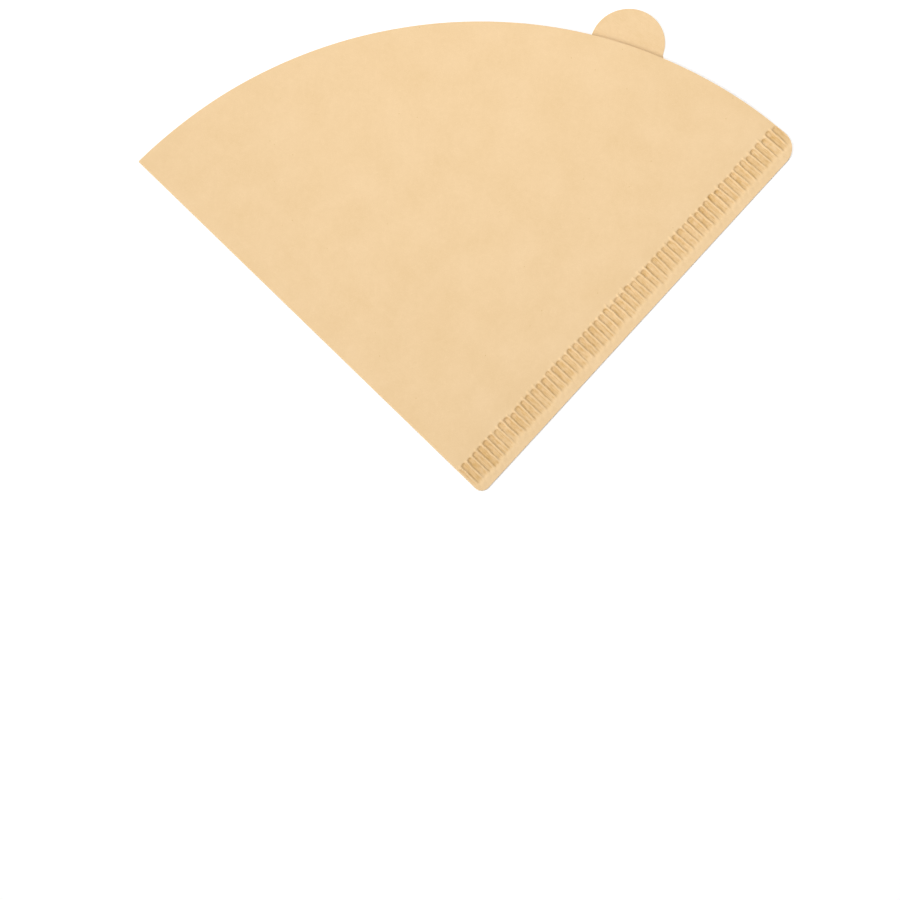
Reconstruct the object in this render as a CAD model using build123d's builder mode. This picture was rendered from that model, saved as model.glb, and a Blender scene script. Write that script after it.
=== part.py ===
from build123d import *
from math import atan, atan2, cos, radians, sin, sqrt
import os

# A cone coffee filter, folded flat: one sheet of paper, folded along its left edge into two plies and
# crimped together along its right edge. It lies on its back ply, with the mouth of its pocket towards +Y.
# Lengths are in millimetres and angles in degrees.

# Paper
ply = 0.2
fold_gap = 0.1

# Pocket, from its point to the rim of its mouth
pocket_angle = 87.5
pocket_length = 125.0
pocket_start = 1.5
mouth_gap = 1.3

# Seam
seam_width = 9.2
seam_corner_radius = 5.8
tip_radius = 2.4

# Crimps, pressed through both plies of the seam
crimp_pitch = 2.07
first_ridge = 1.5
rim_clearance = 1.2
seam_margin = 2.9
pit_length = 6.2
pit_width = 1.45
pit_depth = 0.1
ridge_length = 5.4
ridge_height = 0.14
groove_width = 0.36

# Pull tab on the back ply, turned from the middle of the mouth towards the seam
tab_radius = 10.1
tab_root_radius = 1.0
tab_turn = 22.8

# How far a piece runs past the outline that trims it
overrun = 1.0

# Directions and places in the flat filter, measured from the corner between its fold and its seam
half_angle = radians(pocket_angle / 2)
along_fold = Vector(-sin(half_angle), cos(half_angle))
into_fold = Vector(cos(half_angle), sin(half_angle))
along_seam = Vector(sin(half_angle), cos(half_angle))
out_of_seam = Vector(cos(half_angle), -sin(half_angle))
tip = along_fold * (-seam_width / sin(radians(pocket_angle)))
fold_end = along_fold * pocket_length
seam_end = out_of_seam * seam_width + along_seam * sqrt(pocket_length**2 - seam_width**2)
seam_length = (seam_end - tip).length
tab_place = Vector(sin(radians(tab_turn)), cos(radians(tab_turn))) * pocket_length

# The folded edge is half a tube, and the plies run from its middle line to the seam
fold_radius = ply + fold_gap / 2
past_rim = pocket_length + overrun
pocket_point = along_seam * (fold_radius / sin(radians(pocket_angle)))
near = pocket_start / cos(half_angle)
far = past_rim / cos(half_angle)
trim_height = 2 * ply + fold_gap + mouth_gap + overrun

# The front ply is part of a shallow cone. Its axis leans so that the ply rises between the fold and the
# seam, and comes back down to both of them.
crest_angle = atan(mouth_gap / pocket_length)
lean = atan2(sin(crest_angle), cos(crest_angle) - cos(half_angle))
cone_radius = past_rim * cos(lean - crest_angle)
cone_height = past_rim * sin(lean - crest_angle)

# The flat outline without the tab, and with it
with BuildSketch() as fan:
    with BuildLine():
        Line(tip, fold_end)
        RadiusArc(fold_end, seam_end, pocket_length)
        Line(seam_end, tip)
    make_face()
    fillet(fan.vertices().sort_by(Axis.X)[-1], seam_corner_radius)
    fillet(fan.vertices().sort_by(Axis.Y)[0], tip_radius)

with BuildSketch() as tabbed_fan:
    add(fan.sketch)
    with Locations(tab_place):
        Circle(tab_radius)
    fillet(tabbed_fan.vertices().sort_by_distance(tab_place)[:2], tab_root_radius)

# The stretch between the fold's middle line and the seam, where the plies part
with BuildSketch() as pocket:
    with BuildLine():
        Polyline(
            pocket_point + along_fold * near,
            pocket_point + along_seam * near,
            pocket_point + along_seam * far,
            pocket_point + along_fold * far,
            close=True,
        )
    make_face()

# The frame's origin is under the middle of the filter
middle = tabbed_fan.sketch.bounding_box().center()
sheet = Plane(origin=(-middle.X, -middle.Y, 0))
fold_plane = Plane(origin=sheet.origin + along_fold * past_rim, x_dir=into_fold, z_dir=-along_fold)
seam_plane = Plane(origin=sheet.origin + tip, x_dir=along_seam, z_dir=(0, 0, 1))
cone_axis = Vector(0, -sin(lean), cos(lean))
apex_on_top = (Align.CENTER, Align.CENTER, Align.MAX)

with BuildPart() as paper_filter:
    # Front ply
    for height, mode in ((2 * ply + fold_gap, Mode.ADD), (ply + fold_gap, Mode.SUBTRACT)):
        cone_point = sheet.origin + pocket_point + Vector(0, 0, height)
        with Locations(Plane(origin=cone_point, z_dir=cone_axis)):
            Cone(cone_radius, 0, cone_height, align=apex_on_top, mode=mode)
    with BuildSketch(sheet):
        add(pocket.sketch)
    extrude(amount=trim_height, mode=Mode.INTERSECT)

    # Back ply
    with BuildSketch(sheet):
        add(pocket.sketch)
    extrude(amount=ply)

    # Folded edge
    with BuildSketch(fold_plane):
        with BuildLine():
            outside = CenterArc((fold_radius, fold_radius), fold_radius, 90, 180)
            inside = CenterArc((fold_radius, fold_radius), fold_gap / 2, 90, 180)
            Line(outside @ 0, inside @ 0)
            Line(outside @ 1, inside @ 1)
        make_face()
    extrude(amount=past_rim)

    # Seam, with both plies pressed flat onto each other, round the point of the pocket too
    with BuildSketch(sheet):
        add(fan.sketch)
        with BuildLine():
            Polyline(
                along_fold * near,
                pocket_point + along_fold * near,
                pocket_point + along_seam * near,
                pocket_point + along_seam * far,
                along_fold * far,
                close=True,
            )
        make_face(mode=Mode.SUBTRACT)
    extrude(amount=2 * ply)

    # The rim and the rounded corners are cut through both plies at once
    with BuildSketch(sheet):
        add(fan.sketch)
    extrude(amount=trim_height, mode=Mode.INTERSECT)

    # Pull tab, on the back ply alone
    with BuildSketch(sheet):
        add(tabbed_fan.sketch)
        with Locations(tab_place):
            Circle(tab_radius + 2 * tab_root_radius, mode=Mode.INTERSECT)
    extrude(amount=ply)

    # Crimps: a raised strip is cut by pits with round inner ends, and a narrow ridge is left between
    # each two of them
    ridge_count = int((seam_length - first_ridge - rim_clearance) / crimp_pitch) + 1
    ridge_span = (ridge_count - 1) * crimp_pitch
    ridge_width = crimp_pitch - pit_width
    crimp_middle = first_ridge + ridge_span / 2
    pit_end = seam_margin + pit_length - pit_width / 2
    with BuildSketch(seam_plane.offset(2 * ply)):
        with Locations((crimp_middle, pit_end - ridge_length / 2)):
            Rectangle(ridge_span + ridge_width, ridge_length)
    extrude(amount=ridge_height)
    with BuildSketch(seam_plane.offset(2 * ply + ridge_height)):
        with Locations((crimp_middle, pit_end)):
            with GridLocations(crimp_pitch, 0, ridge_count - 1, 1):
                Rectangle(pit_width, pit_end - seam_margin, align=(Align.CENTER, Align.MAX))
                Circle(pit_width / 2)
    extrude(amount=-(ridge_height + pit_depth), mode=Mode.SUBTRACT)

    # The underside is grooved behind each ridge
    with BuildSketch(seam_plane):
        with Locations((crimp_middle, pit_end - ridge_length / 2)):
            with GridLocations(crimp_pitch, 0, ridge_count, 1):
                Rectangle(groove_width, ridge_length)
    extrude(amount=ridge_height, mode=Mode.SUBTRACT)

os.makedirs("parts", exist_ok=True)
paper_filter.part.label = "paper_filter"
export_step(paper_filter.part, "parts/paper_filter.step")
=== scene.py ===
import math
import random

import bmesh
import bpy
from mathutils import Matrix, Vector, noise


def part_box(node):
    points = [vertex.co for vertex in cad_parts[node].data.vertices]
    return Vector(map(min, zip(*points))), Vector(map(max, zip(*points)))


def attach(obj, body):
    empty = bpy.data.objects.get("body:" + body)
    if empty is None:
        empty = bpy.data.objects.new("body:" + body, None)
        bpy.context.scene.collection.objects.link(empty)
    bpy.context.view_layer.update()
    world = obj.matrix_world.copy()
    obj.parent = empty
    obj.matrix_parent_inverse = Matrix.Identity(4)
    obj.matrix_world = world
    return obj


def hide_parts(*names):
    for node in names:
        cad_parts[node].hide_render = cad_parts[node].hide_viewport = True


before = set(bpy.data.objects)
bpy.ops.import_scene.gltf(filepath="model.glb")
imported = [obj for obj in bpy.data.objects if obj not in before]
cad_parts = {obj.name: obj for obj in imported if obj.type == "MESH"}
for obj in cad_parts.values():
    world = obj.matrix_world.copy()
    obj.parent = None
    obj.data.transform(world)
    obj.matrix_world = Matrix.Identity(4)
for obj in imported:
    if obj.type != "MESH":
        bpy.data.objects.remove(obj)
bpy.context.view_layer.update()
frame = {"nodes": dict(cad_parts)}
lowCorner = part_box("paper_filter")[0]
mm = 0.001  # the piece is drawn in millimetres and turned into metres when it is done
print("frame:", ", ".join(frame["nodes"]))

# the folded filter: sizes in millimetres, angles in degrees
filterValues = {
    "ply": 0.2,
    "foldGap": 0.1,  # between the plies, along the fold
    "seamGap": 0.01,  # between the plies, in the pressed seam
    "pocketAngle": 87.5,
    "pocketLength": 125.0,  # from the pocket's point to its rim
    "mouthGap": 1.3,  # how far the front ply springs up at the middle of the rim
    "seamWidth": 9.2,
    "seamRise": 3.0,  # stretch beside the seam on which the plies part
    "cornerRadius": 5.8,
    "tipRadius": 2.4,
    "tabRadius": 10.1,
    "tabReach": 125.9,  # from the pocket's point to the tab's middle
    "tabRoots": (0.6, 2.0),  # rounding of its inner corners, left and right
    "tabTurn": 22.7,  # from the middle of the mouth towards the seam
    "tabCurl": 0.2,  # how far the tab's end rises
    "tabPaintedShade": 0.12,  # painted shade on the tab, where there is one ply: how much darker it is than two, as a share of the pressed tone
    "tabShadeEdge": 1.0,  # how softly the painted shade begins at the rim
    "waveHeight": 0.16,  # slow unevenness of the front ply
    "waveLength": 38.0,
    "rippleShares": (0.5, 0.4),  # a smaller wave on it: its height and its length
    "waveEdge": 22.0,  # how far from the fold and the seam both are at their full height
}

# how fine the mesh is: millimetres, and degrees for the turned stretches
meshValues = {
    "rimTurn": 1.0,
    "cornerTurn": 6.0,
    "tipTurn": 10.0,
    "rootTurn": 15.0,
    "foldTurn": 15,
    "cell": 3.0,  # away from the crimps
    "firstCells": (0.5, 0.9, 1.6),  # the first lines between them, from the fold
    "reachShare": 1.1,  # how far the lines run, as a share of the pocket's length
    "bandMargin": 2.0,  # how far the finer cells of the crimps run past the seam
    "columnShares": (0, 0.07, 0.14, 0.22, 0.34, 0.5, 0.66, 0.78, 0.86, 0.93),  # from ridge to ridge
    "columnGap": 0.02,  # least distance from the fold's last line
    "rows": (0.3, 7.9, 9.7),  # from the seam's edge: where they start, get finer and end
    "rowSteps": (0.45, 0.15),
    "lastRows": (10.0, 10.5),
    "weld": 0.0001,  # points nearer to each other than this become one
    "cutNear": 0.00001,  # points nearer to a line than this lie on it
    "onFold": 0.001,  # how near to the fold line a point counts as on it
}

halfAngle = math.radians(filterValues["pocketAngle"] / 2)
alongFold = Vector((-math.sin(halfAngle), math.cos(halfAngle), 0))
intoFold = Vector((math.cos(halfAngle), math.sin(halfAngle), 0))
alongSeam = Vector((math.sin(halfAngle), math.cos(halfAngle), 0))
outOfSeam = Vector((math.cos(halfAngle), -math.sin(halfAngle), 0))
corner = Vector((0, 0, 0))  # where the fold meets the seam: the drawing's own origin
tip = alongFold * (-filterValues["seamWidth"] / math.sin(2 * halfAngle))
foldRadius = filterValues["ply"] + filterValues["foldGap"] / 2


def towards(angle, length):
    return Vector((math.cos(angle), math.sin(angle), 0)) * length


def smooth(low, high, x):
    x = min(max((x - low) / (high - low), 0), 1)
    return x * x * (3 - 2 * x)


def steps(first, last, size):
    count = max(1, round((last - first) / size))
    return [first + (last - first) * k / count for k in range(count + 1)]


# the flat outline of a ply

def addArc(bm, start, centre, turn, step):
    count = max(1, math.ceil(abs(turn) / math.radians(step)))
    made = bmesh.ops.spin(bm, geom=[start], cent=centre, axis=(0, 0, 1), angle=turn, steps=count)
    return next(part for part in made["geom_last"] if isinstance(part, bmesh.types.BMVert))


def addLine(bm, start, end):
    vert = bmesh.ops.extrude_vert_indiv(bm, verts=[start])["verts"][0]
    vert.co = end
    return vert


def tabRootPlace(root):
    # of a rounded inner corner of the tab: how far its centre is from the pocket's point, how far that is
    # turned from the tab's middle, and how far the rounding itself turns
    v = filterValues
    away, outer, reach = v["tabReach"], v["pocketLength"] + root, v["tabRadius"] + root
    spread = math.acos((away**2 + outer**2 - reach**2) / (2 * away * outer))
    rootTurn = math.acos((outer**2 + reach**2 - away**2) / (2 * outer * reach))
    return outer, spread, rootTurn


def drawOutline(bm, withTab):
    # clockwise from the fold's end: rim, corner, seam, tip and fold
    v, m = filterValues, meshValues
    rim, radius = v["pocketLength"], v["cornerRadius"]
    side = v["seamWidth"] - radius
    cornerPlace = outOfSeam * side + alongSeam * math.sqrt((rim - radius) ** 2 - side**2)
    cornerTurn = math.atan2(cornerPlace.y, cornerPlace.x)
    vert = bmesh.ops.create_vert(bm, co=alongFold * rim)["vert"][0]
    turn = math.pi / 2 + halfAngle
    if withTab:
        tabTurn = math.pi / 2 - math.radians(v["tabTurn"])
        outer, left, leftTurn = tabRootPlace(v["tabRoots"][0])
        vert = addArc(bm, vert, corner, tabTurn + left - turn, m["rimTurn"])
        vert = addArc(bm, vert, towards(tabTurn + left, outer), leftTurn, m["rootTurn"])
        outer, right, rightTurn = tabRootPlace(v["tabRoots"][1])
        tabArc = left + leftTurn + right + rightTurn
        vert = addArc(bm, vert, towards(tabTurn, v["tabReach"]), -tabArc, m["cornerTurn"])
        vert = addArc(bm, vert, towards(tabTurn - right, outer), rightTurn, m["rootTurn"])
        turn = tabTurn - right
    vert = addArc(bm, vert, corner, cornerTurn - turn, m["rimTurn"])
    vert = addArc(bm, vert, cornerPlace, halfAngle - math.pi / 2 - cornerTurn, m["cornerTurn"])
    tipPlace = tip + (alongFold + alongSeam) * (v["tipRadius"] / math.sin(2 * halfAngle))
    vert = addLine(bm, vert, tipPlace + outOfSeam * v["tipRadius"])
    vert = addArc(bm, vert, tipPlace, 2 * halfAngle - math.pi, m["tipTurn"])
    addLine(bm, vert, alongFold * rim)
    bmesh.ops.remove_doubles(bm, verts=bm.verts, dist=m["weld"])
    return bmesh.ops.contextual_create(bm, geom=bm.edges[:])["faces"]


# the crimps of the seam: every ridge and pit is a little off the regular pattern

crimpValues = {
    "pitch": 2.061,
    "first": 1.24,  # first ridge, from the fold
    "count": 60,  # ridges, with a pit on both sides of each
    "bow": 0.65,  # how far the ridges are drawn back at the middle of the seam
    "foldEdge": (0.2, 1.0),  # where the crimps begin and are full, from the fold
    "start": 1.9,  # outer end of the pits, from the seam's edge
    "end": 9.0,  # inner end
    "margin": 1.5,  # how far the crimps can reach past the seam
    "outerShare": 0.6,  # relief at the outer end, as a share of the relief at the inner end
    "ridgeWidth": 0.5,
    "ridgeSpread": 0.62,  # how far a ridge's sides run out, as a share of its width
    "ridgeHeight": 0.125,
    "ridgeStart": (0.5, 1.6),  # where a ridge begins and is full, from the pits' outer end
    "ridgeEnd": (-0.1, 0.75),  # where it starts to run out and is gone, from their inner end
    "grooveHeight": 0.1,  # on the underside, behind each ridge
    "pitDepth": 0.155,
    "wall": 0.36,  # how softly a pit's sides and inner end run out
    "outerWall": 1.1,  # and its outer end
    "outerRound": 0.35,  # how far the rounding of that end is drawn in, as a share of outerWall
    "creaseWidth": 0.24,
    "creaseInset": 0.12,  # how far the crease, with its painted shade, is inside the pit's edge
    "lumpHeight": 0.11,  # paper pushed up past a pit's outer end
    "lumpSize": 0.75,
    "lumpStretch": 1.3,  # how much shorter a lump is than wide
    "outerTone": 0.6,  # how much of the pressed tone, with its painted shade, a pit has at its outer end
    "toneStart": (0.65, 1.6),  # where the pressed tone and the crease, with their painted shade, begin and are full, from the outer end
    "endTone": 0.3,  # how pressed it looks all along the row of outer ends
    "endPlaces": (0.4, 1.1, 2.4),  # where that begins, is full and is gone, from the outer end
    "seed": 7,
    "uneven": 0.18,  # how far a ridge or pit is off the pattern: its place, slant, relief and two ends
    "unevenShares": {"shift": 0.4, "lean": 0.08, "size": 0.7, "inner": 1.1, "outer": 1.4},
    "wobble": 0.13,  # how far a ridge strays to its sides
    "crumple": 0.35,  # unevenness of the ridges and of the pits' floors
    "crinkle": 0.45,  # finer, and drawn out along the ridges
}

# smooth random patterns: how fast each changes across and along the crimps, and a place of its own
noiseValues = {
    "wobble": (2.7, 0.6, 8.3),
    "ridge": (2.7, 0.8, 1.9),
    "crumple": (1.3, 1.2, 5.2),
    "crinkle": (3.3, 0.7, 4.4),
    "wavePlace": 3.7,
    "ripplePlace": 9.1,
}


def noiseAt(name, across, along):
    acrossWaves, alongWaves, place = noiseValues[name]
    return noise.noise(Vector((across * acrossWaves, along * alongWaves, place)))


def makeUneven():
    rng = random.Random(crimpValues["seed"])
    uneven, shares = crimpValues["uneven"], crimpValues["unevenShares"]

    def some():
        own = {name: rng.gauss(0, share * uneven) for name, share in shares.items()}
        own["size"] += 1
        return own

    count = crimpValues["count"] + 1
    return [some() for k in range(count)], [some() for k in range(count)]


ridges, pits = makeUneven()


def ridgeLine(k):
    # how far a ridge is from the fold, which it is parallel to
    c = crimpValues
    fromMiddle = 2 * k / (c["count"] - 1) - 1
    return c["first"] + k * c["pitch"] - c["bow"] * (1 - fromMiddle**2)


def ridgePlace(k, t):
    # the same for a ridge that strays, at a distance from the seam's edge
    c = crimpValues
    own = ridges[min(max(k, 0), c["count"] - 1)]
    stray = c["wobble"] * noiseAt("wobble", k, t)
    return ridgeLine(k) + own["shift"] + own["lean"] * (t - c["end"] / 2) + stray


def ridgeAt(near, s, t):
    # how much of a ridge there is
    c = crimpValues
    own = ridges[near]
    away = (s - ridgePlace(near, t)) / (c["ridgeWidth"] * c["ridgeSpread"])
    lengthways = smooth(*[c["start"] + place for place in c["ridgeStart"]], t + own["outer"])
    lengthways *= 1 - smooth(*[c["end"] + place for place in c["ridgeEnd"]], t + own["inner"])
    return math.exp(-(away**2)) * lengthways * own["size"] * (1 + c["crumple"] * noiseAt("ridge", near, t))


def pitAt(own, left, right, s, t):
    # between two ridges: how much of a pit there is, of a lump past its outer end, of pressed paper in it
    # and of a crease along its walls, both darkened further with painted shade
    c = crimpValues
    half = (right - left - c["ridgeWidth"]) / 2
    away = s - (left + right) / 2
    innerPast = t - (c["end"] + own["inner"] - half)
    outerPast = c["start"] + c["outerRound"] * c["outerWall"] + own["outer"] + half - t
    past = math.hypot(away, max(innerPast, outerPast, 0)) - half
    crumple = 1 + c["crumple"] * noiseAt("crumple", s, t) + c["crinkle"] * noiseAt("crinkle", s, t)
    pit = (1 - smooth(-c["wall"] / 2, c["wall"] / 2, past)) * own["size"] * crumple
    pit *= smooth(c["start"], c["start"] + c["outerWall"], t - own["outer"])
    # the pressed tone in a pit is partly denser paper and partly painted shade
    toneShare = smooth(*[c["start"] + place for place in c["toneStart"]], t - own["outer"])
    # the crease along the walls: partly pressed paper, partly painted shade where the walls are in shade
    creaseAndShade = math.exp(-(((past + c["creaseInset"]) / c["creaseWidth"]) ** 2))
    lumpPast = math.hypot(away, (t - c["start"] - own["outer"]) * c["lumpStretch"]) / c["lumpSize"]
    lump = math.exp(-(lumpPast**2)) * own["size"]
    return pit, lump, pit * toneShare, creaseAndShade * toneShare * own["size"] * crumple


def crimpAt(s, t):
    # the crimps at a distance from the fold and from the seam's edge: how much of a ridge, of a pit, of
    # a lump past the pit's outer end, of pressed paper and of a crease there is; the last two carry
    # painted shade too
    c = crimpValues
    k = math.floor((s - c["first"]) / c["pitch"])
    while s >= ridgePlace(k + 1, t):
        k += 1
    while s < ridgePlace(k, t):
        k -= 1
    left, right = ridgePlace(k, t), ridgePlace(k + 1, t)
    near = k if s - left < right - s else k + 1
    ridge = pit = lump = pressed = creaseAndShade = 0.0
    along = smooth(c["start"], c["end"], t)
    deeper = c["outerShare"] + (1 - c["outerShare"]) * along
    if 0 <= near < c["count"]:
        ridge = ridgeAt(near, s, t) * deeper
    if -1 <= k < c["count"]:
        pit, lump, pressed, creaseAndShade = pitAt(pits[k + 1], left, right, s, t)
        pit *= deeper
        creaseAndShade *= deeper
        first, full, last = (c["start"] + place for place in c["endPlaces"])
        ends = smooth(first, full, t) * (1 - smooth(full, last, t))
        pressed = max(pressed * (c["outerTone"] + (1 - c["outerTone"]) * along), c["endTone"] * ends)
    clear = smooth(*c["foldEdge"], s)
    return [share * clear for share in (ridge, pit, lump, pressed, creaseAndShade)]


# the plies and their fold

def cutAcross(bm, faces, origin, normal, places):
    # cuts flat faces along parallel lines, and never goes back over what it has passed
    passed = []
    for place in places:
        parts = list(dict.fromkeys(part for face in faces for part in (*face.verts, *face.edges, face)))
        cut = bmesh.ops.bisect_plane(
            bm, geom=parts, dist=meshValues["cutNear"], plane_co=origin + normal * place, plane_no=normal
        )
        faces = [part for part in cut["geom"] if isinstance(part, bmesh.types.BMFace)]
        ahead = [(face.calc_center_median() - origin).dot(normal) > place for face in faces]
        passed += [face for face, isAhead in zip(faces, ahead) if not isAhead]
        faces = [face for face, isAhead in zip(faces, ahead) if isAhead]
    return passed, faces


def drawPly(withTab):
    # a flat ply, with fine cells in the crimps and at the fold
    v, m = filterValues, meshValues
    bm = bmesh.new()
    turns = range(m["foldTurn"], 91, m["foldTurn"])
    foldCuts = [foldRadius * (1 - math.cos(math.radians(turn))) for turn in turns]
    strips, faces = cutAcross(bm, drawOutline(bm, withTab), corner, intoFold, foldCuts)
    bandWidth = v["seamWidth"] + m["bandMargin"]
    band, field = cutAcross(bm, strips + faces, tip, -outOfSeam, [bandWidth])
    *firstCuts, start = m["firstCells"]
    reach = v["pocketLength"] * m["reachShare"]
    fieldCuts = firstCuts + steps(start, reach, m["cell"])
    passed, field = cutAcross(bm, field, corner, intoFold, fieldCuts)
    cutAcross(bm, passed + field, tip, alongFold, steps(0, reach, m["cell"])[1:])
    columns = []
    for k in range(-1, crimpValues["count"]):
        left, right = ridgeLine(k), ridgeLine(k + 1)
        columns += [left + (right - left) * share for share in m["columnShares"]]
    columns = [place for place in columns if foldCuts[-1] + m["columnGap"] < place < v["pocketLength"]]
    passed, band = cutAcross(bm, band, corner, intoFold, columns)
    first, finer, last = m["rows"]
    rows = steps(first, finer, m["rowSteps"][0]) + steps(finer, last, m["rowSteps"][1])[1:]
    cutAcross(bm, passed + band, tip, -outOfSeam, rows + list(m["lastRows"]))
    return bm


def waveAt(place, length, layer):
    return noise.noise(Vector((place.x, place.y, layer)) / length)


def heights(place):
    # the four surfaces of the two plies over a place of the flat outline, from the table up, and the
    # attributes of the paper there
    v, c = filterValues, crimpValues
    rim, seam, waveLength, waveEdge = v["pocketLength"], v["seamWidth"], v["waveLength"], v["waveEdge"]
    t = -(place - tip).dot(outOfSeam)
    out = place.length
    fromFold = place.dot(intoFold)
    crimps = crimpAt(fromFold, t) if t < seam + c["margin"] else [0.0] * 5
    ridge, pit, lump, pressed, creaseAndShade = crimps
    free = smooth(seam, seam + v["seamRise"], t)
    turn = math.atan2(place.x, place.y)
    cone = (math.cos(turn) - math.cos(halfAngle)) / (1 - math.cos(halfAngle))
    cone = max(cone, 0) * v["mouthGap"] * out / rim if t > seam else 0.0
    rippleHeight, rippleLength = v["rippleShares"]
    wave = waveAt(place, waveLength, noiseValues["wavePlace"])
    wave += rippleHeight * waveAt(place, rippleLength * waveLength, noiseValues["ripplePlace"])
    wave *= v["waveHeight"] * smooth(0, waveEdge, fromFold) * smooth(0, waveEdge, t - seam)
    beyond = max(out - rim, 0) / v["tabRadius"]
    under = c["grooveHeight"] * ridge + v["tabCurl"] * beyond * beyond
    relief = c["ridgeHeight"] * ridge - c["pitDepth"] * pit + c["lumpHeight"] * lump
    middle = under + v["ply"] + 0.5 * (relief - c["grooveHeight"] * ridge)
    gap = v["seamGap"] + (v["foldGap"] - v["seamGap"]) * free + max(cone + wave * free, 0)
    top = middle + gap + v["ply"] + 0.5 * (relief + c["grooveHeight"] * ridge)
    # painted shade on the tab, beyond the front ply's rim
    pressed += v["tabPaintedShade"] * smooth(rim, rim + v["tabShadeEdge"], out)
    return under, middle, middle + gap, top, (ridge, pressed, creaseAndShade)


def shapePly(bm, isFront):
    # gives a flat ply its thickness, sets both its faces and bends its edge at the fold
    onFold = meshValues["onFold"]
    layers = [bm.verts.layers.float.new(name) for name in ("ridge", "pressed", "creaseAndShade")]
    made = bmesh.ops.extrude_face_region(bm, geom=bm.faces[:], use_keep_orig=True)["geom"]
    upper = {part for part in made if isinstance(part, bmesh.types.BMVert)}
    for face in bm.faces:
        face.smooth = True
        isUpper = [vert in upper for vert in face.verts]
        if any(isUpper) and not all(isUpper):
            face.material_index = 1
            face.smooth = False
            for edge in face.edges:
                edge.smooth = (edge.verts[0] in upper) != (edge.verts[1] in upper)
    atFold = [face for face in bm.faces if all(vert.co.dot(intoFold) < onFold for vert in face.verts)]
    bmesh.ops.delete(bm, geom=atFold, context="FACES")
    for vert in bm.verts:
        under, backTop, frontUnder, top, shares = heights(vert.co)
        isOutside = (vert in upper) == isFront
        low, high = (under, top) if isOutside else (backTop, frontUnder)
        depth = foldRadius if isOutside else filterValues["foldGap"] / 2
        fromFold = vert.co.dot(intoFold)
        if fromFold < foldRadius:
            fromFold = fromFold if fromFold > onFold else 0.0
            back = 1 - fromFold / foldRadius
            vert.co += intoFold * (foldRadius - fromFold - depth * back)
            half = (high - low) / 2 * math.sqrt(max(1 - back * back, 0))
            low, high = (low + high) / 2 - half, (low + high) / 2 + half
        vert.co.z = high if isFront else low
        for layer, share in zip(layers, shares):
            vert[layer] = share


def makeFilter():
    whole = bmesh.new()
    for isFront in (False, True):
        bm = drawPly(withTab=not isFront)
        shapePly(bm, isFront)
        mesh = bpy.data.meshes.new("ply")
        bm.to_mesh(mesh)
        bm.free()
        whole.from_mesh(mesh)
        bpy.data.meshes.remove(mesh)
    bmesh.ops.remove_doubles(whole, verts=whole.verts, dist=meshValues["weld"])
    bmesh.ops.recalc_face_normals(whole, faces=whole.faces)
    v = filterValues
    lowest = tip.y + v["tipRadius"] * (1 / math.sin(halfAngle) - 1)
    place = Vector((lowCorner.x / mm - alongFold.x * v["pocketLength"], lowCorner.y / mm - lowest, 0))
    bmesh.ops.translate(whole, verts=whole.verts, vec=place)
    bmesh.ops.scale(whole, verts=whole.verts, vec=(mm, mm, mm))
    openEdges = sum(1 for edge in whole.edges if len(edge.link_faces) != 2)
    mesh = bpy.data.meshes.new("foldedFilter")
    whole.to_mesh(mesh)
    whole.free()
    piece = bpy.data.objects.new("foldedFilter", mesh)
    bpy.context.scene.collection.objects.link(piece)
    mesh.calc_loop_triangles()
    print("filter:", len(mesh.loop_triangles), "triangles,", openEdges, "open edges")
    return piece, (place + tip) * mm


foldedFilter, tipPlace = makeFilter()


# materials

def newMaterial(name):
    material = bpy.data.materials.new(name)
    material.use_nodes = True
    material.node_tree.nodes.clear()
    return material, material.node_tree.nodes, material.node_tree.links


def addMath(nodes, links, operation, *values):
    node = nodes.new("ShaderNodeMath")
    node.operation = operation
    for socket, value in zip(node.inputs, values):
        if isinstance(value, (int, float)):
            socket.default_value = value
        else:
            links.new(value, socket)
    return node.outputs[0]


def addRange(nodes, links, value, start, end, low, high):
    # turns start into low and end into high, and keeps to them outside
    node = nodes.new("ShaderNodeMapRange")
    for name, number in (("From Min", start), ("From Max", end), ("To Min", low), ("To Max", high)):
        node.inputs[name].default_value = number
    links.new(value, node.inputs["Value"])
    return node.outputs["Result"]


def addNoise(nodes, links, place, size, detail, distortion=0.0):
    node = nodes.new("ShaderNodeTexNoise")
    node.inputs["Scale"].default_value = 1 / size
    node.inputs["Detail"].default_value = detail
    node.inputs["Distortion"].default_value = distortion
    links.new(place, node.inputs["Vector"])
    return addMath(nodes, links, "SUBTRACT", node.outputs["Fac"], 0.5)


def addStretch(nodes, links, place, turn, size):
    # turns a pattern about Z, and draws it out to a size on each axis
    node = nodes.new("ShaderNodeMapping")
    node.vector_type = "TEXTURE"
    node.inputs["Rotation"].default_value = (0, 0, turn)
    node.inputs["Scale"].default_value = size
    links.new(place, node.inputs["Vector"])
    return node.outputs["Vector"]


pulpValues = {  # what the paper is made of; sizes in millimetres
    "cloud": 11.0,  # thick and thin patches
    "grain": 1.6,
    "detail": 3,
    "fibreLength": 2.6,
    "fibreWidth": 0.16,
    "fibreTurns": (17.0, 78.0, 141.0),
    "fibreBend": 0.6,
    "fibreThin": 0.035,  # smaller is thinner and rarer
    "fibreRelief": 0.4,  # as a share of the grain's
    "speckCell": 4.2,
    "speckSize": 0.2,
    "roughness": 0.86,
    "roughGrain": 0.25,  # how much the grain changes it
}


def addFibres(nodes, links, place, turn):
    # thin curved lines that lie more or less one way
    v = pulpValues
    size = (v["fibreLength"], v["fibreWidth"], v["fibreWidth"])
    place = addStretch(nodes, links, place, math.radians(turn), size)
    off = addMath(nodes, links, "ABSOLUTE", addNoise(nodes, links, place, 1, 1, v["fibreBend"]))
    return addRange(nodes, links, off, 0, v["fibreThin"], 1, 0)


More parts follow.
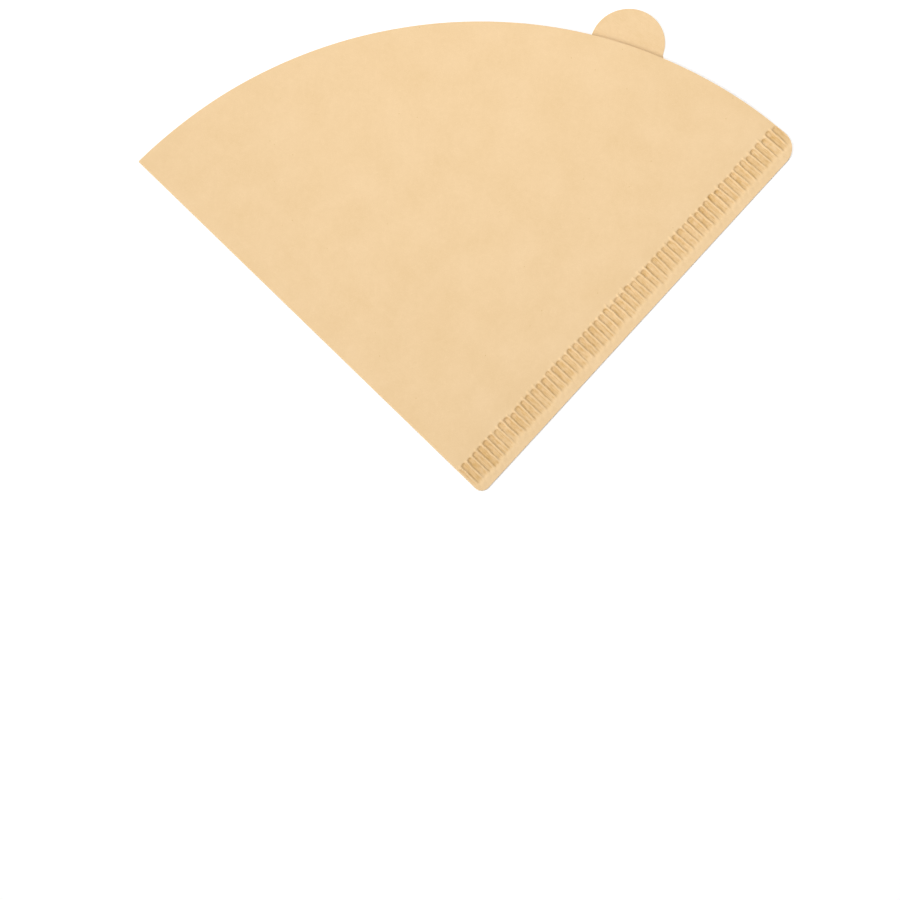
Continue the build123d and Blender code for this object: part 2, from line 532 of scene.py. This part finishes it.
def makePulp():
    # the fibres of the paper: clouds, grain, single fibres and a few dark specks
    v = pulpValues
    group = bpy.data.node_groups.new("paperPulp", "ShaderNodeTree")
    face = group.interface
    face.new_socket("Color", in_out="INPUT", socket_type="NodeSocketColor")
    for name in ("Cloud", "Grain", "Fibre", "Speck"):
        face.new_socket(name, in_out="INPUT", socket_type="NodeSocketFloat")
    face.new_socket("Color", in_out="OUTPUT", socket_type="NodeSocketColor")
    face.new_socket("Roughness", in_out="OUTPUT", socket_type="NodeSocketFloat")
    face.new_socket("Height", in_out="OUTPUT", socket_type="NodeSocketFloat")
    nodes, links = group.nodes, group.links
    given = nodes.new("NodeGroupInput")
    result = nodes.new("NodeGroupOutput")
    coordinates = nodes.new("ShaderNodeTexCoord")
    place = nodes.new("ShaderNodeMapping")
    place.inputs["Scale"].default_value = (1 / mm, 1 / mm, 1 / mm)
    links.new(coordinates.outputs["Object"], place.inputs["Vector"])
    place = place.outputs["Vector"]

    cloud = addNoise(nodes, links, place, v["cloud"], v["detail"])
    grain = addNoise(nodes, links, place, v["grain"], v["detail"])
    fibres = [addFibres(nodes, links, place, turn) for turn in v["fibreTurns"]]
    fibre = addMath(nodes, links, "ADD", addMath(nodes, links, "ADD", fibres[0], fibres[1]), fibres[2])
    specks = nodes.new("ShaderNodeTexVoronoi")
    specks.inputs["Scale"].default_value = 1 / v["speckCell"]
    links.new(place, specks.inputs["Vector"])
    speckShare = v["speckSize"] / v["speckCell"]
    speck = addRange(nodes, links, specks.outputs["Distance"], 0, speckShare, 1, 0)

    light = addMath(nodes, links, "MULTIPLY", cloud, given.outputs["Cloud"])
    light = addMath(nodes, links, "MULTIPLY_ADD", grain, given.outputs["Grain"], light)
    light = addMath(nodes, links, "MULTIPLY_ADD", fibre, given.outputs["Fibre"], light)
    dark = addMath(nodes, links, "MULTIPLY", speck, given.outputs["Speck"])
    light = addMath(nodes, links, "SUBTRACT", light, dark)
    shade = nodes.new("ShaderNodeHueSaturation")
    links.new(given.outputs["Color"], shade.inputs["Color"])
    links.new(addMath(nodes, links, "ADD", light, 1), shade.inputs["Value"])
    links.new(addMath(nodes, links, "SUBTRACT", 1, light), shade.inputs["Saturation"])
    links.new(shade.outputs["Color"], result.inputs["Color"])
    rough = addMath(nodes, links, "MULTIPLY_ADD", grain, v["roughGrain"], v["roughness"])
    links.new(rough, result.inputs["Roughness"])
    height = addMath(nodes, links, "MULTIPLY_ADD", fibre, v["fibreRelief"], grain)
    links.new(height, result.inputs["Height"])
    return group


paperPulp = makePulp()


def makePaper(name, v):
    # a material with the fibres on its shader, over one tone
    material, nodes, links = newMaterial(name)
    shader = nodes.new("ShaderNodeBsdfPrincipled")
    shader.inputs["Specular IOR Level"].default_value = v["specular"]
    output = nodes.new("ShaderNodeOutputMaterial")
    links.new(shader.outputs["BSDF"], output.inputs["Surface"])
    pulp = nodes.new("ShaderNodeGroup")
    pulp.node_tree = paperPulp
    pulp.inputs["Color"].default_value = (*v["tone"], 1)
    for depth in ("Cloud", "Grain", "Fibre", "Speck"):
        pulp.inputs[depth].default_value = v[depth.lower() + "Depth"]
    bump = nodes.new("ShaderNodeBump")
    bump.inputs["Distance"].default_value = v["bumpHeight"] * mm
    bump.inputs["Strength"].default_value = v["bumpStrength"]
    links.new(pulp.outputs["Height"], bump.inputs["Height"])
    links.new(pulp.outputs["Color"], shader.inputs["Base Color"])
    links.new(pulp.outputs["Roughness"], shader.inputs["Roughness"])
    links.new(bump.outputs["Normal"], shader.inputs["Normal"])
    return material, nodes, links, pulp


# the faces of the paper, which is darker and denser where the crimps press it, and darker still with
# painted shade in the pits, along their walls and on the tab

paperValues = {
    "tone": (0.900, 0.643, 0.358),
    "pressedTone": (0.795, 0.524, 0.241),  # where the pits are pressed, partly painted shade in them, and a little on the tab as painted shade
    "creaseAndShadeTone": (0.675, 0.432, 0.190),  # along the pits' walls: a pressed crease with painted shade
    "ridgeTone": (0.900, 0.643, 0.350),
    "cloudDepth": 0.095,
    "grainDepth": 0.045,
    "pressedGrain": 0.3,  # more grain where the pits are pressed
    "crinkleWidth": 0.2,  # fine strokes there in the pressed tone and the painted shade, along the ridges; millimetres
    "crinkleLength": 2.2,
    "crinkleDepth": 3.5,
    "fibreDepth": 0.03,
    "speckDepth": 0.22,
    "bumpHeight": 0.02,
    "bumpStrength": 0.35,
    "specular": 0.25,
}


def addCrinkle(nodes, links):
    # a share that varies in short strokes along the ridges of the crimps
    v = paperValues
    size = [v["crinkle" + side] * mm for side in ("Width", "Length", "Width")]
    place = nodes.new("ShaderNodeTexCoord").outputs["Object"]
    strokes = addNoise(nodes, links, addStretch(nodes, links, place, halfAngle, size), 1, 1)
    return addMath(nodes, links, "MULTIPLY_ADD", strokes, v["crinkleDepth"], 1)


def addTone(nodes, links, under, tone, amount):
    # lays a tone over a colour that is a socket or three numbers, as much as amount says
    mix = nodes.new("ShaderNodeMix")
    mix.data_type = "RGBA"
    mix.clamp_factor = True
    sockets = {socket.identifier: socket for socket in mix.inputs}
    links.new(amount, sockets["Factor_Float"])
    if isinstance(under, tuple):
        sockets["A_Color"].default_value = (*under, 1)
    else:
        links.new(under, sockets["A_Color"])
    sockets["B_Color"].default_value = (*tone, 1)
    return next(socket for socket in mix.outputs if socket.identifier == "Result_Color")


def makeKraftPaper():
    v = paperValues
    material, nodes, links, pulp = makePaper("kraftPaper", v)
    crinkle = addCrinkle(nodes, links)
    tone = v["tone"]
    shares = {}
    for name in ("pressed", "creaseAndShade", "ridge"):
        share = nodes.new("ShaderNodeAttribute")
        share.attribute_name = name
        shares[name] = share.outputs["Fac"]
        # short strokes through the pressed tone and the painted shade along the walls
        if name != "ridge":
            shares[name] = addMath(nodes, links, "MULTIPLY", shares[name], crinkle)
        tone = addTone(nodes, links, tone, v[name + "Tone"], shares[name])
    links.new(tone, pulp.inputs["Color"])
    grain = addMath(nodes, links, "MULTIPLY_ADD", shares["pressed"], v["pressedGrain"], v["grainDepth"])
    links.new(grain, pulp.inputs["Grain"])
    return material


# the cut edge, where the fibres end

edgeValues = {
    "tone": (0.930, 0.700, 0.440),
    "cloudDepth": 0.05,
    "grainDepth": 0.20,
    "fibreDepth": 0.20,
    "speckDepth": 0.10,
    "bumpHeight": 0.05,
    "bumpStrength": 0.6,
    "specular": 0.2,
}

foldedFilter.data.materials.append(makeKraftPaper())
foldedFilter.data.materials.append(makePaper("paperEdge", edgeValues)[0])
print("materials:", ", ".join(material.name for material in foldedFilter.data.materials))
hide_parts("paper_filter")
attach(foldedFilter, "root")


# floor and light

stageValues = {
    "floorSize": 4.0,  # metres
    "floorGap": 0.02,  # millimetres that it lies below the filter
    "floorTone": 0.85,
    "floorRoughness": 0.9,
    "floorLift": (0.32, 0.56),  # extra brightness that only the camera sees, near and far
    "liftRange": (0.15, 0.8),  # how far from the middle of the floor that is, in metres
    "skyLight": 0.265,  # on the object
    "backdrop": 1.0,  # what the camera and reflections see instead
}

# lamps, with their turn from +X and their height above the floor in degrees
lampValues = {
    "key": {"power": 194.0, "size": 2.8, "turn": 195.0, "height": 35.0, "distance": 6.0},
    "softbox": {"power": 0.815, "size": 0.25, "turn": 75.0, "height": 74.5, "distance": 0.42},
}


def addChoice(nodes, links, hidden, shown):
    # one shader for the light on the object, and one for the backdrop that the camera and reflections see
    rays = nodes.new("ShaderNodeLightPath").outputs
    seen = addMath(nodes, links, "MAXIMUM", rays["Is Camera Ray"], rays["Is Glossy Ray"])
    seen = addMath(nodes, links, "MAXIMUM", seen, rays["Is Transmission Ray"])
    choose = nodes.new("ShaderNodeMixShader")
    links.new(seen, choose.inputs["Fac"])
    links.new(hidden, choose.inputs[1])
    links.new(shown, choose.inputs[2])
    return choose.outputs["Shader"]


def makeFloor():
    v = stageValues
    bm = bmesh.new()
    bmesh.ops.create_grid(bm, x_segments=1, y_segments=1, size=v["floorSize"] / 2)
    bmesh.ops.translate(bm, verts=bm.verts, vec=(0, 0, -v["floorGap"] * mm))
    mesh = bpy.data.meshes.new("floor")
    bm.to_mesh(mesh)
    bm.free()
    floor = bpy.data.objects.new("floor", mesh)
    bpy.context.scene.collection.objects.link(floor)
    material, nodes, links = newMaterial("whiteFloor")
    shader = nodes.new("ShaderNodeBsdfPrincipled")
    shader.inputs["Base Color"].default_value = (v["floorTone"],) * 3 + (1,)
    shader.inputs["Roughness"].default_value = v["floorRoughness"]
    shader.inputs["Specular IOR Level"].default_value = 0.0
    coordinates = nodes.new("ShaderNodeTexCoord")
    away = nodes.new("ShaderNodeVectorMath")
    away.operation = "LENGTH"
    links.new(coordinates.outputs["Object"], away.inputs[0])
    strength = addRange(nodes, links, away.outputs["Value"], *v["liftRange"], *v["floorLift"])
    lift = nodes.new("ShaderNodeEmission")
    links.new(strength, lift.inputs["Strength"])
    both = nodes.new("ShaderNodeAddShader")
    links.new(shader.outputs["BSDF"], both.inputs[0])
    links.new(lift.outputs["Emission"], both.inputs[1])
    output = nodes.new("ShaderNodeOutputMaterial")
    choice = addChoice(nodes, links, shader.outputs["BSDF"], both.outputs["Shader"])
    links.new(choice, output.inputs["Surface"])
    mesh.materials.append(material)


def makeSky():
    world = bpy.data.worlds.new("studio")
    world.use_nodes = True
    nodes, links = world.node_tree.nodes, world.node_tree.links
    nodes.clear()
    whites = []
    for strength in (stageValues["skyLight"], stageValues["backdrop"]):
        background = nodes.new("ShaderNodeBackground")
        background.inputs["Color"].default_value = (1, 1, 1, 1)
        background.inputs["Strength"].default_value = strength
        whites.append(background.outputs["Background"])
    output = nodes.new("ShaderNodeOutputWorld")
    links.new(addChoice(nodes, links, *whites), output.inputs["Surface"])
    bpy.context.scene.world = world


def makeLamp(name):
    v = lampValues[name]
    light = bpy.data.lights.new(name, "AREA")
    light.shape = "DISK"
    light.size = v["size"]
    light.energy = v["power"]
    height = math.radians(v["height"])
    away = towards(math.radians(v["turn"]), math.cos(height)) + Vector((0, 0, math.sin(height)))
    lamp = bpy.data.objects.new(name, light)
    lamp.location = away * v["distance"]
    lamp.rotation_euler = away.to_track_quat("Z", "Y").to_euler()
    lamp.visible_camera = False
    bpy.context.scene.collection.objects.link(lamp)


makeFloor()
makeSky()
for name in lampValues:
    makeLamp(name)
print("stage: floor, sky and", len(lampValues), "lamps")


# camera, over the filter as in the photograph

cameraValues = {
    "lens": 72.0,
    "sensor": 36.0,
    "clip": (0.01, 20),  # metres
    "turns": (-12.4718, -6.2402, 1.0073),  # of the paper before the camera, about X, Y and Z
    "shift": (8.2688, -11.5748),  # of the filter's tip from the camera's axis
    "distance": 465.024,
}


def makeCamera():
    v = cameraValues
    camera = bpy.data.cameras.new("camera")
    camera.lens = v["lens"]
    camera.sensor_width = v["sensor"]
    camera.clip_start, camera.clip_end = v["clip"]
    turnX, turnY, turnZ = (Matrix.Rotation(math.radians(v["turns"][k]), 4, "XYZ"[k]) for k in range(3))
    turned = (turnX @ turnY @ turnZ).transposed()
    offset = Vector((*v["shift"], -v["distance"])) * mm
    holder = bpy.data.objects.new("camera", camera)
    holder.matrix_world = Matrix.Translation(tipPlace) @ turned @ Matrix.Translation(-offset)
    bpy.context.scene.collection.objects.link(holder)
    bpy.context.scene.camera = holder


makeCamera()
bpy.context.scene.view_settings.view_transform = "Standard"
